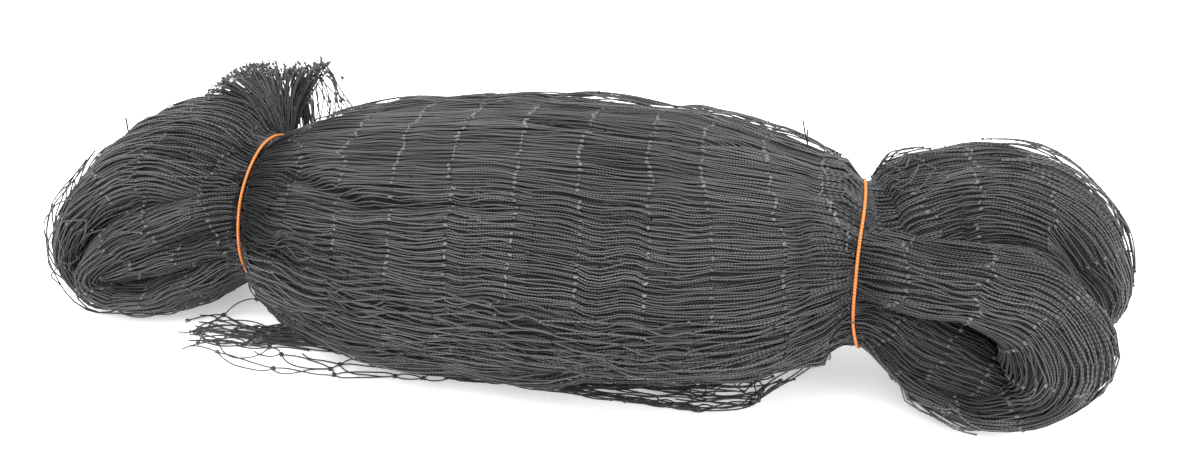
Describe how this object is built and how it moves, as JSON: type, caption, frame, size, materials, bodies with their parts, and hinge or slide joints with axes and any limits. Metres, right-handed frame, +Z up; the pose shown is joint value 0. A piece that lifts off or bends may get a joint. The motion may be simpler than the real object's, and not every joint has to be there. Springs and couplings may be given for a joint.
{
  "type": "bird netting hank",
  "caption": "Knotted mesh netting drawn out into a long hank, folded back at both ends and bound with two cord ties, with a gathered end standing up.",
  "frame": {"origin": "centre of the bounding box in X and Y, on the surface that the hank rests on", "axes": "+X along the hank from the end with the gathered tuft to the end with two folds, +Y to the far side, +Z up"},
  "size_m": [0.49, 0.1561, 0.1122],
  "materials": {
    "net_twine": "twisted near-black twine, dull with a faint sheen",
    "tie_cord": "twisted bright orange cord, slightly shiny"
  },
  "bodies": {
    "root": {"hank": "net_twine", "gathered_end": "net_twine", "loose_edge": "net_twine", "tie_left": "tie_cord", "tie_right": "tie_cord"}
  },
  "joints": []
}
